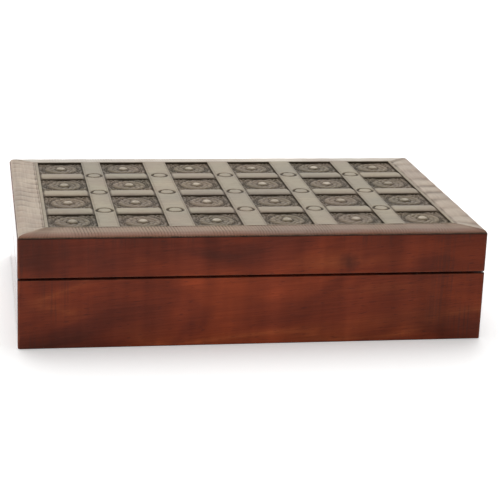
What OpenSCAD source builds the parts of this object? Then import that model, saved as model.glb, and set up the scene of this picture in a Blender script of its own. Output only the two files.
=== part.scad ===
// Mancala board in a hinged, carved wooden box.
// Origin: centre of the underside. +X runs to the right along the front, +Y to the hinges, +Z up.

/* [Box] */
// Outside width, along the front
box_w = 305; // [300:1:320]
// Outside depth, front to back, without the hinge barrels
box_d = 204; // [202:1:210]
// Outside height to the carved top
box_h = 76; // [74:1:90]
// Height of the base up to its rim
base_h = 46; // [46:1:50]
// Thickness of the side boards
wall = 9; // [8:0.5:9]
// Gap between the two rims when the lid is shut
seam_gap = 0.9; // [0.6:0.1:1.2]
// Rounding of the upright corners
corner_r = 1.6; // [0.5:0.1:3]

/* [Base] */
// Thickness of the floor let into the underside
floor_t = 5; // [3:0.5:6]
// How far the floor is let into each side board
floor_let_in = 4.5; // [3:0.5:5]
// Width of the rails that the pit board stands on
rail_w = 8; // [5:0.5:12]
// Height of those rails
rail_h = 11; // [8:0.5:12]

/* [Pit board] */
// Thickness of the pit board
board_t = 25; // [22:1:28]
// Width of a pit, across its short way
pit_w = 30.4; // [28:0.2:32]
// Length of a pit
pit_len = 62; // [50:1:66]
// Depth of the pits and stores
pit_depth = 15; // [12:0.5:18]
// Rounding between a pit's wall and its floor
pit_fillet = 6; // [3:0.5:8]
// Distance between neighbouring pits in a row
pit_pitch = 35.2; // [34:0.2:36]
// Distance from the middle line to each row of pits
row_offset = 40; // [36:1:42]
// Width of an end store
store_w = 26; // [20:1:28]
// Length of an end store
store_len = 150; // [120:1:160]

/* [Seeds] */
// Diameter of a seed
seed_d = 13; // [10:0.5:13]
// Thickness of a seed
seed_t = 7.5; // [5:0.5:8]

/* [Lid] */
// Height at which the moulding sits on the lid's side boards
lid_wall_top = 72.8; // [70:0.1:73]
// Thickness of the panel under the moulding
panel_t = 6.8; // [5:0.1:8]
// Width of the moulding at the left and right
mould_side = 18; // [14:0.5:20]
// Width of the moulding at the front and back
mould_front = 16; // [12:0.5:18]
// How far the moulding's lower edge is set in from the side boards
mould_set_in = 0.5; // [0:0.1:1]
// Width of the moulding's rounded shoulder
mould_round = 6.5; // [3:0.5:8]

/* [Carving] */
// Side of a sunk tile
tile = 31.5; // [26:0.5:32]
// Depth of the sunk tiles
tile_depth = 2.5; // [1:0.1:3]
// Distance between rows of tiles
row_pitch = 46.4; // [44:0.2:48]
// Diameter of the disc at each crossing of the straps
disc_d = 8.7; // [6:0.1:10]
// Diameter of the ring cut round that disc
disc_ring_d = 11.8; // [10:0.1:14]
// Depth of that ring
disc_ring_deep = 0.9; // [0.4:0.1:1.5]

/* [Hinges] */
// Length of a hinge
hinge_len = 38; // [30:1:45]
// Distance from the middle to each hinge
hinge_x = 95; // [70:1:110]
// Thickness of a leaf
leaf_t = 1; // [0.8:0.1:1.2]
// Radius of the barrel
barrel_r = 2.2; // [2:0.1:2.4]
// Radius of the hinge pin
pin_r = 1; // [0.8:0.1:1.2]
// Radius of a screw's shank
screw_r = 1; // [0.8:0.1:1.2]
// Radius of a screw's head
screw_head_r = 2.1; // [1.8:0.1:2.4]
// Length of a screw
screw_len = 10; // [8:1:12]

/* [Hidden] */
$fn = 64;

// How far a cutter runs past the face it cuts.
past = 1;

// The turn about Z that takes the front to each side.
FRONT = 0;
RIGHT = 90;
BACK = 180;
LEFT = 270;

mahogany = [0.36, 0.17, 0.12];
carved_oak = [0.52, 0.46, 0.36];
brass = [0.72, 0.56, 0.28];
steel = [0.60, 0.58, 0.54];
pine = [0.62, 0.45, 0.28];

inner_w = box_w - 2 * wall;
inner_d = box_d - 2 * wall;
lid_rim = base_h + seam_gap;
board_z = floor_t + rail_h;
board_top = board_z + board_t;
pit_floor = board_top - pit_depth;
store_land = 6;                             // between the last pit of a row and the store
store_x = 2.5 * pit_pitch + pit_w / 2 + store_land + store_w / 2;

// The columns of tiles were set out by eye, so their pitch varies by a millimetre or two.
column_x = [-116.5, -71, -22.5, 24.5, 71.5, 117];
row_y = [for (row = [-1.5:1:1.5]) row * row_pitch];

// The hinge axis: just behind the back face, half way between the rims.
barrel_gap = 0.2;
axis_y = box_d / 2 + barrel_r + barrel_gap;
axis_z = base_h + seam_gap / 2;
knuckles = 5;
knuckle_pitch = hinge_len / knuckles;
knuckle_gap = 0.2;
swing_gap = 0.3;                            // room round the other leaf's knuckles
screw_spread = 13;                          // between neighbouring screws in a leaf
screw_slot_w = 0.6;
screw_slot_deep = 0.5;
fit_tight = 0.01;                           // radial clearance of the pin in the base's knuckles
fit_running = 0.05;                         // radial clearance of the pin in the lid's knuckles

// Four seeds lie flat in each pit, a little unevenly.
seed_spots = [[-6.8, 10.4], [6.9, 15.2], [-6.2, -12.8], [7.0, -3.6]];
seed_lift = 0.1;                            // clearance between a seed and the pit's floor

// Turns a shape that is drawn for the front to another side.
module on_side(turn) rotate([0, 0, turn]) children();

function side_length(turn) = turn % 180 == 0 ? box_w : box_d;
function side_reach(turn) = turn % 180 == 0 ? box_d / 2 : box_w / 2;

// A board along the front, mitred at both ends, between two heights.
module mitred_board(turn, thick, low, high, set_in = 0) {
    half = side_length(turn) / 2 - set_in;
    face = side_reach(turn) - set_in;
    translate([0, 0, low])
        linear_extrude(high - low)
            polygon([[-half, -face], [half, -face],
                     [half - thick, thick - face], [thick - half, thick - face]]);
}

// The box's outline with rounded upright corners.
module outline(low, high) {
    translate([0, 0, low])
        linear_extrude(high - low)
            union() {
                square([box_w - 2 * corner_r, box_d], center = true);
                square([box_w, box_d - 2 * corner_r], center = true);
                for (x = [-1, 1], y = [-1, 1])
                    translate([x * (box_w / 2 - corner_r), y * (box_d / 2 - corner_r)])
                        circle(r = corner_r);
            }
}

// Where the hinges' screws go, each with its point down at z = 0.
module at_screws() {
    for (side = [-1, 1], step = [-1:1])
        translate([side * hinge_x + step * screw_spread, box_d / 2 - wall / 2, 0]) children();
}

// Mortises and pilot holes for both hinges, cut down from a rim at z = 0.
module hinge_seats() {
    for (side = [-1, 1])
        translate([side * hinge_x - hinge_len / 2, box_d / 2 - wall - past, -leaf_t])
            cube([hinge_len, wall + 2 * past, leaf_t + past]);
    translate([0, 0, -screw_len]) at_screws() cylinder(r = screw_r, h = screw_len);
}

module base_side(turn) {
    color(mahogany)
        on_side(turn)
            intersection() {
                on_side(-turn) outline(0, base_h);
                union() {
                    mitred_board(turn, wall, floor_t, base_h);
                    mitred_board(turn, wall - floor_let_in, 0, floor_t);
                }
            }
}

module base_back() {
    difference() {
        base_side(BACK);
        color(mahogany) translate([0, 0, base_h]) hinge_seats();
    }
}

module base_floor() {
    size = [inner_w + 2 * floor_let_in, inner_d + 2 * floor_let_in, floor_t];
    color(pine) translate([-size.x / 2, -size.y / 2, 0]) cube(size);
}

module board_rail(turn) {
    face = side_reach(turn) - wall;
    long = turn % 180 == 0 ? inner_w : inner_d - 2 * rail_w;
    color(pine)
        on_side(turn) translate([-long / 2, -face, floor_t]) cube([long, rail_w, rail_h]);
}

// Half the section of a hollow: a flat floor that curves up into straight walls.
function hollow_section(half, deep, round_r) = concat(
    [[0, 0]],
    [for (a = [-90:10:0]) [half - round_r + round_r * cos(a), round_r + round_r * sin(a)]],
    [[half, deep + past], [0, deep + past]]
);

// A long hollow with round ends, lying along Y, with its floor at z = 0.
module hollow(width, length, deep, round_r) {
    run = length - width;
    section = hollow_section(width / 2, deep, round_r);
    other_half = [for (p = section) [-p.x, p.y]];
    for (end = [-1, 1]) translate([0, end * run / 2, 0]) rotate_extrude() polygon(section);
    translate([0, run / 2, 0]) rotate([90, 0, 0]) linear_extrude(run) polygon(section);
    translate([0, run / 2, 0]) rotate([90, 0, 0]) linear_extrude(run) polygon(other_half);
}

// Pits are counted from the near left, along the near row and then along the far one.
function pit_place(index) = [
    ((index % 6) - 2.5) * pit_pitch,
    index < 6 ? -row_offset : row_offset,
    pit_floor
];

module pit_board() {
    color(carved_oak)
        difference() {
            translate([-inner_w / 2, -inner_d / 2, board_z]) cube([inner_w, inner_d, board_t]);
            for (index = [0:11])
                translate(pit_place(index)) hollow(pit_w, pit_len, pit_depth, pit_fillet);
            for (side = [-1, 1])
                translate([side * store_x, 0, pit_floor])
                    hollow(store_w, store_len, pit_depth, pit_fillet);
        }
}

// One polished seed, lying flat on z = 0.
module seed() {
    rotate_extrude()
        polygon([for (a = [-90:15:90])
            [seed_d / 2 * cos(a), seed_t / 2 + seed_t / 2 * sin(a)]]);
}

module seeds_in_pit(number) {
    index = number - 1;
    flip_x = index % 2 == 0 ? 1 : -1;
    flip_y = index % 3 == 0 ? -1 : 1;
    color([0.30 + 0.05 * (index % 4), 0.42, 0.46])
        translate(pit_place(index))
            for (spot = seed_spots)
                translate([flip_x * spot.x, flip_y * spot.y, seed_lift]) seed();
}

// One leaf of a hinge: every second knuckle of the barrel, counted from first, and the plate
// that joins them. plate_z is the height of the plate's underside. Children are cut away.
module leaf(side, first, plate_z, bore_r) {
    left_end = side * hinge_x - hinge_len / 2;
    plate_y = box_d / 2 - wall;
    color(brass)
        difference() {
            union() {
                translate([left_end, plate_y, plate_z])
                    cube([hinge_len, axis_y - plate_y, leaf_t]);
                for (k = [first:2:knuckles - 1])
                    translate([left_end + k * knuckle_pitch + knuckle_gap / 2, axis_y, axis_z])
                        rotate([0, 90, 0])
                            cylinder(r = barrel_r, h = knuckle_pitch - knuckle_gap);
            }
            for (k = [1 - first:2:knuckles])
                translate([left_end + k * knuckle_pitch - knuckle_gap / 2,
                           axis_y - barrel_r - swing_gap, plate_z - past])
                    cube([knuckle_pitch + knuckle_gap, 2 * barrel_r, leaf_t + 2 * past]);
            translate([left_end - past, axis_y, axis_z])
                rotate([0, 90, 0]) cylinder(r = bore_r, h = hinge_len + 2 * past);
            children();
        }
}

module base_leaf(side) {
    leaf(side, 0, base_h - leaf_t, pin_r + fit_tight)
        translate([0, 0, base_h]) at_screws() screw_seat();
}

module lid_leaf(side) {
    leaf(side, 1, lid_rim, pin_r + fit_running)
        translate([0, 0, lid_rim]) mirror([0, 0, 1]) at_screws() screw_seat();
}

// The countersunk hole in a leaf, cut down from z = 0.
module screw_seat() {
    translate([0, 0, -leaf_t])
        cylinder(r1 = screw_r + fit_running, r2 = screw_head_r + fit_running, h = leaf_t);
    translate([0, 0, -leaf_t - past]) cylinder(r = screw_r + fit_running, h = past);
    cylinder(r = screw_head_r + fit_running, h = past);
}

// A countersunk screw with its head's face at z = 0 and its point down.
module screw() {
    difference() {
        union() {
            translate([0, 0, -leaf_t]) cylinder(r1 = screw_r, r2 = screw_head_r, h = leaf_t);
            translate([0, 0, -screw_len]) cylinder(r = screw_r, h = screw_len);
        }
        translate([-screw_head_r - past, -screw_slot_w / 2, -screw_slot_deep])
            cube([2 * (screw_head_r + past), screw_slot_w, screw_slot_deep + past]);
    }
}

module base_hinge_screws() {
    color(brass) translate([0, 0, base_h]) at_screws() screw();
}

module lid_hinge_screws() {
    color(brass) translate([0, 0, lid_rim]) mirror([0, 0, 1]) at_screws() screw();
}

module hinge_pin(side) {
    color(steel)
        translate([side * hinge_x - hinge_len / 2, axis_y, axis_z])
            rotate([0, 90, 0]) cylinder(r = pin_r, h = hinge_len);
}

module lid_side(turn) {
    color(mahogany)
        on_side(turn)
            intersection() {
                on_side(-turn) outline(lid_rim, lid_wall_top);
                mitred_board(turn, wall, lid_rim, lid_wall_top);
            }
}

module lid_back() {
    difference() {
        lid_side(BACK);
        color(mahogany) translate([0, 0, lid_rim]) mirror([0, 0, 1]) hinge_seats();
    }
}

// The moulding's section: distance in from the side board's face, and height.
mould_edge = 0.4;                           // upright edge below the rounded shoulder
mould_dip = 0.4;                            // how much lower the shoulder is than the carved top
shoulder_z = lid_wall_top + mould_edge;
shoulder_h = box_h - mould_dip - shoulder_z;
function mould_section(width) = concat(
    [[width, lid_wall_top], [mould_set_in, lid_wall_top], [mould_set_in, shoulder_z]],
    [for (a = [15:15:90])
        [mould_set_in + mould_round * (1 - cos(a)), shoulder_z + shoulder_h * sin(a)]],
    [[width, box_h]]
);

module lid_moulding(turn) {
    half = side_length(turn) / 2;
    face = side_reach(turn);
    width = turn % 180 == 0 ? mould_front : mould_side;
    across = turn % 180 == 0 ? mould_side : mould_front;
    color(carved_oak)
        on_side(turn)
            intersection() {
                translate([-half, -face, 0])
                    rotate([90, 0, 90]) linear_extrude(2 * half) polygon(mould_section(width));
                translate([0, 0, lid_wall_top - past])
                    linear_extrude(box_h - lid_wall_top + 2 * past)
                        polygon([[-half, -face], [half, -face],
                                 [half - across, width - face], [across - half, width - face]]);
            }
}

// A carved rosette: outer ring, petal ring and centre dome, standing on z = 0.
module rosette() {
    rotate_extrude() polygon([[8.6, 0], [9.4, 1.5], [10.8, 1.5], [11.6, 0]]);
    rotate_extrude() polygon([[4.6, 0], [5.2, 1.3], [7.0, 1.3], [7.8, 0]]);
    rotate_extrude()
        polygon([for (a = [0:15:90]) [3.9 * cos(a), 2.2 * sin(a)], [0, 0]]);
}

module lid_panel() {
    field_w = box_w - 2 * mould_side;
    field_d = box_d - 2 * mould_front;
    color(carved_oak) {
        difference() {
            union() {
                translate([-inner_w / 2, -inner_d / 2, lid_wall_top - panel_t])
                    cube([inner_w, inner_d, panel_t]);
                translate([-field_w / 2, -field_d / 2, lid_wall_top - past])
                    cube([field_w, field_d, box_h - lid_wall_top + past]);
            }
            for (x = column_x, y = row_y)
                translate([x - tile / 2, y - tile / 2, box_h - tile_depth])
                    cube([tile, tile, tile_depth + past]);
            for (c = [0:4], r = [0:2])
                translate([(column_x[c] + column_x[c + 1]) / 2, (row_y[r] + row_y[r + 1]) / 2,
                           box_h - disc_ring_deep])
                    difference() {
                        cylinder(d = disc_ring_d, h = disc_ring_deep + past);
                        translate([0, 0, -past]) cylinder(d = disc_d, h = disc_ring_deep + 3 * past);
                    }
        }
        for (x = column_x, y = row_y)
            translate([x, y, box_h - tile_depth]) rosette();
    }
}

base_side(FRONT);  // base_front
base_back();
base_side(LEFT);  // base_left
base_side(RIGHT);  // base_right
base_floor();
board_rail(FRONT);  // board_rail_front
board_rail(BACK);  // board_rail_back
board_rail(LEFT);  // board_rail_left
board_rail(RIGHT);  // board_rail_right
pit_board();
base_leaf(-1);  // hinge_base_leaf_left
base_leaf(1);  // hinge_base_leaf_right
hinge_pin(-1);  // hinge_pin_left
hinge_pin(1);  // hinge_pin_right
base_hinge_screws();
lid_side(FRONT);  // lid_front
lid_back();
lid_side(LEFT);  // lid_left
lid_side(RIGHT);  // lid_right
lid_panel();
lid_moulding(FRONT);  // lid_moulding_front
lid_moulding(BACK);  // lid_moulding_back
lid_moulding(LEFT);  // lid_moulding_left
lid_moulding(RIGHT);  // lid_moulding_right
lid_leaf(-1);  // hinge_lid_leaf_left
lid_leaf(1);  // hinge_lid_leaf_right
lid_hinge_screws();
for (number = [1:12])
    seeds_in_pit(number);
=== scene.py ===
# %% [markdown]
# # A mancala board in a carved, hinged box
# The frame below is the measured model: every board, hinge and seed is already in its place. This
# lesson gives each visible piece its worked surface, its wood, metal or stone, and its light.
# Lengths are in metres, and MM turns a length in millimetres into them.

import math

import bpy
import numpy as np
from mathutils import Matrix, Vector


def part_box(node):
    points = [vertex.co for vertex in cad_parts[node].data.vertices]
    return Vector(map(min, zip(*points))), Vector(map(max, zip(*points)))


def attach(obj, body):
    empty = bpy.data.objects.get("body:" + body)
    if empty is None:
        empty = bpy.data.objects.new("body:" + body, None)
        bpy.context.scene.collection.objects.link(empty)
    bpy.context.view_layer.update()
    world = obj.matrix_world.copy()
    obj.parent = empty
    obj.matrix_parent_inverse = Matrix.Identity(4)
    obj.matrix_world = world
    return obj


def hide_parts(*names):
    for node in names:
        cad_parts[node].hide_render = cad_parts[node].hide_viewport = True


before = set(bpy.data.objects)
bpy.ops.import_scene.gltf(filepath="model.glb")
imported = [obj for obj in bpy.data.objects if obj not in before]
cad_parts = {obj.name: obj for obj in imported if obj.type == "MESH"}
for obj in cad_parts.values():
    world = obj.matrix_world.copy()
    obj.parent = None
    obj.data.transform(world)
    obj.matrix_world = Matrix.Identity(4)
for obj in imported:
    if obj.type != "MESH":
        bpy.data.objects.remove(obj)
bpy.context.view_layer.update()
MM = 0.001

# %% [markdown]
# ## Sizes
# The frame says how big each board is, so the half width, the rims and the top come from its
# boxes. Only the layout of the carving is given here, because the frame holds the whole panel as
# one node.

# %% Sizes from the frame
HALF_W = -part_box("base_left")[0].x
HALF_D = -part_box("base_front")[0].y
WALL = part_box("base_front")[1].y + HALF_D
BASE_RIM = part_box("base_front")[1].z
LID_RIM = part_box("lid_front")[0].z
LID_WALL_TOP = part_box("lid_front")[1].z
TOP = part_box("lid_panel")[1].z
PANEL_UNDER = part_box("lid_panel")[0].z
MOULD_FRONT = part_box("lid_moulding_front")[1].y + HALF_D
MOULD_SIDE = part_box("lid_moulding_left")[1].x + HALF_W
FIELD_W = 2 * (HALF_W - MOULD_SIDE)
FIELD_D = 2 * (HALF_D - MOULD_FRONT)
CORNER_R = 1.6 * MM
print(f"box {2 * HALF_W:.4f} x {2 * HALF_D:.4f} m, carved field {FIELD_W:.4f} x {FIELD_D:.4f} m")

# %% Layout of the carving
TILE = 31.5 * MM
TILE_DEPTH = 2.5 * MM
ROW_PITCH = 46.4 * MM
COLUMN_X = np.array([-116.5, -71, -22.5, 24.5, 71.5, 117]) * MM
ROW_Y = (np.arange(4) - 1.5) * ROW_PITCH
print("tile", round(TILE / MM, 1), "mm, columns at", np.round(COLUMN_X / MM, 1), "rows at", ROW_Y / MM)

# %% [markdown]
# ## The camera
# A long lens stands to the left of the middle and looks a little down. It is placed by three
# given values: where it stands, the point it looks at, and a small roll.

# %% Camera
camera_data = bpy.data.cameras.new("camera")
camera = bpy.data.objects.new("camera", camera_data)
bpy.context.scene.collection.objects.link(camera)
camera_data.lens = 113.64
camera_data.sensor_width = 36
camera_place = Vector((-0.1769, -1.0494, 0.3546))
camera_aim = Vector((0.0128, 0.0001, 0.0330))
camera_roll = math.radians(2.2)
turn = (camera_aim - camera_place).to_track_quat("-Z", "Y").to_matrix().to_4x4()
camera.matrix_world = Matrix.Translation(camera_place) @ turn @ Matrix.Rotation(camera_roll, 4, "Z")
bpy.context.scene.camera = camera
print("camera", round((camera_aim - camera_place).length, 3), "m from the box, lens", camera_data.lens)

# %% [markdown]
# ## From arrays to meshes
# Each surface in this lesson is a whole array of points worked out at once. Faces are arrays of
# point numbers. A grid of points could become faces in a loop, but slicing the number grid gives
# every square in one step. Each mesh becomes a piece, which rides on one body of the frame and
# stands for one node of it.

# %% Mesh builders
SHARP_DEGREES = 35


def make_mesh(name, points, face_groups, marks=None, sharp=SHARP_DEGREES):
    """A mesh from points (n, 3) and arrays of corner numbers, one face a row.

    Every edge that turns by more than sharp degrees stays crisp, and marks are values at the points.
    """
    mesh = bpy.data.meshes.new(name)
    corners = np.concatenate([group.ravel() for group in face_groups])
    sides = np.concatenate([np.full(len(group), group.shape[1]) for group in face_groups])
    mesh.vertices.add(len(points))
    mesh.vertices.foreach_set("co", np.asarray(points, np.float32).ravel())
    mesh.loops.add(len(corners))
    mesh.loops.foreach_set("vertex_index", corners.astype(np.int32))
    mesh.polygons.add(len(sides))
    mesh.polygons.foreach_set("loop_start", (np.cumsum(sides) - sides).astype(np.int32))
    mesh.update(calc_edges=True)
    for label, values in (marks or {}).items():
        layer = mesh.attributes.new(label, "FLOAT", "POINT")
        layer.data.foreach_set("value", np.asarray(values, np.float32).ravel())
    mesh.shade_smooth()
    mesh.set_sharp_from_angle(angle=math.radians(sharp))
    mesh.validate()
    return mesh


def link(name, mesh, body, nodes, material):
    """Puts a mesh in the scene as a piece that rides on a body and stands for CAD nodes."""
    piece = bpy.data.objects.new(name, mesh)
    bpy.context.scene.collection.objects.link(piece)
    mesh.materials.append(material)
    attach(piece, body)
    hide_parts(*nodes)
    return piece


# %% Grids, blocks and joins
def squares(rows, columns, wrap=False):
    """Corner numbers of a grid's squares, row by row. wrap joins its last column to its first."""
    number = np.arange(rows * columns).reshape(rows, columns)
    if wrap:
        number = np.concatenate([number, number[:, :1]], axis=1)
    corners = [number[:-1, :-1], number[:-1, 1:], number[1:, 1:], number[1:, :-1]]
    return np.stack(corners, -1).reshape(-1, 4)


def tube_faces(rings, around):
    """Faces of a closed tube of rings, with the first and the last ring as its two ends."""
    ring = np.arange(around)
    last = (rings - 1) * around + ring
    return [squares(rings, around, wrap=True), ring[::-1][None, :], last[None, :]]


def spaced(low, high, pitch, near_edge=0.0):
    """Values from low to high about pitch apart, and three more within near_edge of each end."""
    steps = max(2, int(round((high - low) / pitch)) + 1)
    values = np.linspace(low, high, steps)
    if near_edge:
        close = near_edge * np.array([0.12, 0.35, 0.65])
        values = np.unique(np.concatenate([values, low + close, high - close]))
    return values


def block(xs, ys, top, bottom, skirt=0.0):
    """A closed block: a top surface over a grid, upright sides, and a flat underside.

    top is an array (len(ys), len(xs)) of heights. The rim is walked once round. Copies of it, one skirt
    below the rim if a skirt is given and one at the height bottom, make the sides and the underside. It
    returns the points, the faces, and how many points the copies have.
    """
    rows, columns = len(ys), len(xs)
    x, y = np.meshgrid(xs, ys)
    upper = np.stack([x, y, top], -1).reshape(-1, 3)
    number = np.arange(rows * columns).reshape(rows, columns)
    rim = np.concatenate([number[0, :-1], number[:-1, -1], number[-1, :0:-1], number[:0:-1, 0]])
    levels = [np.full(len(rim), bottom)]
    if skirt:
        levels.insert(0, upper[rim, 2] - skirt)
    lower = np.concatenate([np.column_stack([upper[rim, :2], level]) for level in levels])
    copies = rows * columns + np.arange(len(lower)).reshape(len(levels), -1)
    rings = [rim, *copies]
    sides = [np.stack([above, below, np.roll(below, -1), np.roll(above, -1)], -1)
             for above, below in zip(rings[:-1], rings[1:])]
    faces = [squares(rows, columns), *sides, rings[-1][::-1][None, :]]
    return np.concatenate([upper, lower]), faces, len(lower)


def join(parts):
    """Several (points, face groups) as one set: each part's corner numbers move on past the last."""
    starts = np.cumsum([0] + [len(points) for points, _ in parts])
    points = np.concatenate([points for points, _ in parts])
    groups = [group + start for (_, faces), start in zip(parts, starts) for group in faces]
    return points, groups


# %% [markdown]
# Carved wood is darkest where wax and dust settle and palest where hands rub it. Both follow from
# the relief itself: its depth, and its curvature, which is what each height lacks from the mean
# of its neighbours.

# %% Where a relief is hollow or proud
def smooth_step(t):
    """0 below 0, 1 above 1, and an S-curve between."""
    t = np.clip(t, 0, 1)
    return t * t * (3 - 2 * t)


def hump(distance, width):
    """1 where distance is 0, falling smoothly to 0 at plus or minus width."""
    return np.clip(1 - (distance / width) ** 2, 0, 1) ** 2


def wear_marks(relief, pitch, strength=0.10):
    """How hollow and how proud each point of a relief is, from 0 to 1.

    The curvature over one grid step is the mean height of the four neighbours less the point's own.
    """
    padded = np.pad(relief, 1, mode="edge")
    mean = (padded[:-2, 1:-1] + padded[2:, 1:-1] + padded[1:-1, :-2] + padded[1:-1, 2:]) / 4
    curve = (mean - relief) / (pitch * strength)
    return np.clip(curve, 0, 1), np.clip(-curve, 0, 1)

# %% [markdown]
# ## Node helpers
# A material is a small program. These helpers add a node, set or link its inputs by name, and
# hand it back, so that a material below reads as a few lines of plain steps. An effect that
# several materials share is a node group with named sockets, built once. The shader itself stays
# in the material, and what never varies over a surface is set straight on its sockets.

# %% Node helpers
NOISE_SPAN = (0.3, 0.7)


class Nodes:
    """Adds shader nodes to one tree."""

    def __init__(self, tree):
        self.tree = tree

    def add(self, kind, given=None, **settings):
        """A new node, with its settings, and its inputs set to values or linked to sockets."""
        node = self.tree.nodes.new("ShaderNode" + kind)
        for label, value in settings.items():
            setattr(node, label, value)
        return self.give(node, given or {})

    def give(self, node, given):
        """The same node, with each named input set to a value or linked to a socket."""
        for label, value in given.items():
            if isinstance(value, bpy.types.NodeSocket):
                self.tree.links.new(value, node.inputs[label])
            else:
                node.inputs[label].default_value = value
        return node

    def math(self, operation, *values, clamp=False):
        """One arithmetic step on values or sockets."""
        node = self.add("Math", dict(enumerate(values)), operation=operation, use_clamp=clamp)
        return node.outputs[0]

    def product(self, first, *others):
        """All the values multiplied together."""
        for value in others:
            first = self.math("MULTIPLY", first, value)
        return first

    def noise(self, vector, scale, detail=3.0, rough=0.5, distortion=0.0):
        """Smooth noise about 1 / scale metres across, from 0 to 1."""
        given = {"Vector": vector, "Scale": scale, "Detail": detail, "Roughness": rough}
        return self.add("TexNoise", {**given, "Distortion": distortion}).outputs["Fac"]

    def remap(self, value, low, high, to_low=0.0, to_high=1.0):
        """value from low..high carried to to_low..to_high, and held there outside."""
        given = {"Value": value, "From Min": low, "From Max": high, "To Min": to_low, "To Max": to_high}
        return self.add("MapRange", given, clamp=True).outputs["Result"]

    def vary(self, noise, to_low, to_high):
        """A noise, which seldom leaves 0.3..0.7, carried to to_low..to_high."""
        return self.remap(noise, *NOISE_SPAN, to_low, to_high)

    def blend(self, share, first, second, mode="MIX"):
        """The colour first where share is 0 and second, or first changed by it, where share is 1."""
        node = self.add("Mix", {0: share, 6: first, 7: second}, data_type="RGBA", blend_type=mode)
        return node.outputs[2]

    def grey(self, value):
        """The grey whose red, green and blue are all value."""
        return self.add("CombineColor", {0: value, 1: value, 2: value}).outputs[0]

    def shade(self, colour, value):
        """The colour times value: darker below 1 and lighter above it."""
        return self.blend(1.0, colour, self.grey(value), "MULTIPLY")

    def ramp(self, value, stops):
        """A colour for each value: stops are (place, (red, green, blue))."""
        node = self.add("ValToRGB", {"Fac": value})
        elements = node.color_ramp.elements
        for _ in stops[2:]:
            elements.new(0.5)
        for element, (place, colour) in zip(elements, stops):
            element.position = place
            element.color = (*colour, 1)
        return node.outputs["Color"]

    def stretched(self, vector, rotation=(0, 0, 0), scale=(1, 1, 1), move=(0, 0, 0)):
        """The coordinates turned, scaled and moved."""
        given = {"Vector": vector, "Rotation": rotation, "Scale": scale, "Location": move}
        return self.add("Mapping", given).outputs["Vector"]

    def attribute(self, label):
        """A value that was stored at the mesh's points."""
        return self.add("Attribute", attribute_name=label).outputs["Fac"]

    def bump(self, height, strength, distance):
        """The normal of a surface on which a height of 1 stands distance proud, at a strength."""
        given = {"Height": height, "Strength": strength, "Distance": distance}
        return self.add("Bump", given).outputs["Normal"]

    def use(self, group, given):
        """The outputs of a node group, with its inputs set."""
        return self.give(self.add("Group", node_tree=group), given).outputs


# %% Node groups and materials
def new_group(name, inputs, outputs):
    """An empty node group with named sockets, its nodes, what it is given, and where its results go.

    inputs are (label, kind, default), and outputs are the labels of values.
    """
    tree = bpy.data.node_groups.new(name, "ShaderNodeTree")
    for label, kind, value in inputs:
        socket = tree.interface.new_socket(label, in_out="INPUT", socket_type="NodeSocket" + kind)
        if value is not None:
            socket.default_value = value
    for label in outputs:
        tree.interface.new_socket(label, in_out="OUTPUT", socket_type="NodeSocketFloat")
    given = tree.nodes.new("NodeGroupInput").outputs
    result = tree.nodes.new("NodeGroupOutput")
    return tree, Nodes(tree), given, result


def new_material(name, build, **surface):
    """A Principled BSDF material. build(nodes, place) returns the sockets that vary, by input name."""
    material = bpy.data.materials.new(name)
    material.use_nodes = True
    tree = material.node_tree
    shader = tree.nodes["Principled BSDF"]
    nodes = Nodes(tree)
    place = nodes.add("TexCoord").outputs["Object"]
    for label, value in surface.items():
        shader.inputs[label.replace("_", " ")].default_value = value
    for label, socket in build(nodes, place).items():
        tree.links.new(socket, shader.inputs[label])
    return material


# %% [markdown]
# ### Wood figure, shared by every board
# A board shows soft clouds of stain, the wavy lines where growth rings meet the surface, long
# fibres, and short dark pores. Rings are the level lines of a stretched noise: multiplying the
# noise and keeping only what is left after the whole number gives lines that close into flames,
# as a saw cut through a curved trunk does.

# %% Wood figure group
figure, n, given, result = new_group(
    "wood_figure",
    [("Vector", "Vector", None), ("Size", "Float", 14.0), ("Rings", "Float", 8.0)],
    ["Clouds", "Rings", "Fibres", "Pores"],
)
flame_place = n.stretched(given["Vector"], scale=(0.16, 1, 1))
level = n.product(n.noise(flame_place, given["Size"], 2.0, 0.45), given["Rings"])
ridge = n.math("ABSOLUTE", n.math("SUBTRACT", n.product(n.math("FRACT", level), 2.0), 1.0))
cloud_place = n.stretched(given["Vector"], scale=(0.55, 1, 1), move=(0.31, 0.07, 0.53))
fibre_place = n.stretched(given["Vector"], scale=(0.03, 1, 1))
pore_place = n.stretched(given["Vector"], scale=(0.10, 1, 1))
n.give(result, {
    "Clouds": n.noise(cloud_place, given["Size"], 3.0, 0.55, 0.6),
    "Rings": n.math("POWER", ridge, 6.0),
    "Fibres": n.noise(fibre_place, 900.0, 3.0, 0.6),
    "Pores": n.remap(n.noise(pore_place, 1500.0, 1.0, 0.5), 0.62, 0.72),
})
print("wood figure:", len(figure.nodes), "nodes")


def fibre_shade(n, colour, wood):
    """The colour, a little darker and lighter from fibre to fibre."""
    return n.shade(colour, n.vary(wood["Fibres"], 0.86, 1.12))


# %% [markdown]
# ### Worn edges, settled dirt and painted shade, shared by every piece
# Handling rubs the stain off corners and leaves wax and dust in hollows. The same dirt mask also
# carries painted shade: the seam, the foot and the ledge under the border of the side boards, and
# the deep parts and side walls of the carving. The amount is the mark stored at the mesh's points,
# broken up by noise so that no edge is worn evenly.

# %% Wear groups
def wear_group(name, noise, span):
    """A group whose mask is the mark, times a noise carried over span, times the amount, from 0 to 1."""
    tree, n, given, result = new_group(
        name, [("Mark", "Float", 0.0), ("Vector", "Vector", None), ("Amount", "Float", 0.5)], ["Mask"])
    patches = n.remap(n.noise(given["Vector"], *noise), *span)
    mask = n.math("MULTIPLY", n.product(given["Mark"], patches), given["Amount"], clamp=True)
    n.give(result, {"Mask": mask})
    return tree


worn = wear_group("worn_edge", (160.0, 4.0, 0.65), (0.35, 0.65))
dirt_and_shade = wear_group("dirt_and_painted_shade", (240.0, 3.0, 0.6), (0.25, 0.70, 0.55, 1.0))
print("wear groups:", worn.name, dirt_and_shade.name)


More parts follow.
